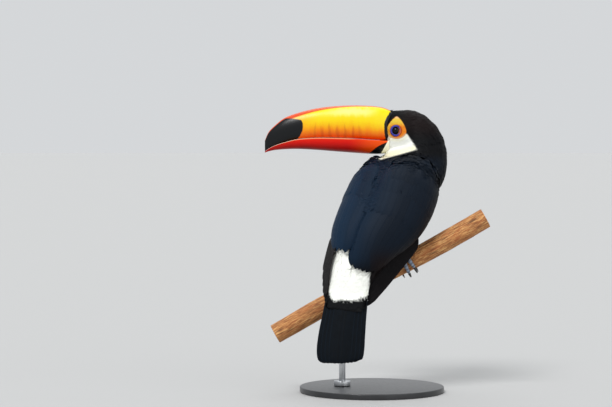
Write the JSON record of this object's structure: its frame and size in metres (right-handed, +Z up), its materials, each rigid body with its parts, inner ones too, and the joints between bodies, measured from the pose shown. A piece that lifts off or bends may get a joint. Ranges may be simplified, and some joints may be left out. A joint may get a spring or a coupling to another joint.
{
  "type": "toucan",
  "caption": "Life-size toco toucan, perched on a cut length of branch and looking back over its left shoulder, on a plain display stand.",
  "frame": {"origin": "middle of the underside of the stand's round base", "axes": "+Z up; -Y is the side that the bird turns its back to; +X is the bird's right, and its bill points to -X"},
  "size_m": [0.3482, 0.224, 0.445],
  "materials": {
    "black_feathers": "glossy black contour feathers",
    "flight_feathers": "brownish black flight and tail feathers",
    "bill_upper": "smooth horn, yellow and orange with a black tip",
    "bill_lower": "smooth horn, red-orange",
    "eye": "wet gloss",
    "leg": "scaled blue-grey skin",
    "claw": "black horn",
    "bark": "rough bark",
    "stand_black": "satin black paint",
    "stand_steel": "brushed"
  },
  "bodies": {
    "root": {"trunk": "black_feathers", "neck": "black_feathers", "head": "black_feathers", "bill_upper": "bill_upper", "bill_lower": "bill_lower", "eye_left": "eye", "eye_right": "eye", "wing_left": "black_feathers", "wing_right": "black_feathers", "flight_feathers_left": "flight_feathers", "flight_feathers_right": "flight_feathers", "tail": "flight_feathers", "thigh_left": "black_feathers", "thigh_right": "black_feathers", "leg_left": "leg", "leg_right": "leg", "claw_left_inner_front": "claw", "claw_left_outer_front": "claw", "claw_left_inner_rear": "claw", "claw_left_outer_rear": "claw", "claw_right_inner_front": "claw", "claw_right_outer_front": "claw", "claw_right_inner_rear": "claw", "claw_right_outer_rear": "claw", "perch": "bark", "stand_base": "stand_black", "stand_rod": "stand_steel", "stand_collar": "stand_steel"}
  },
  "joints": []
}
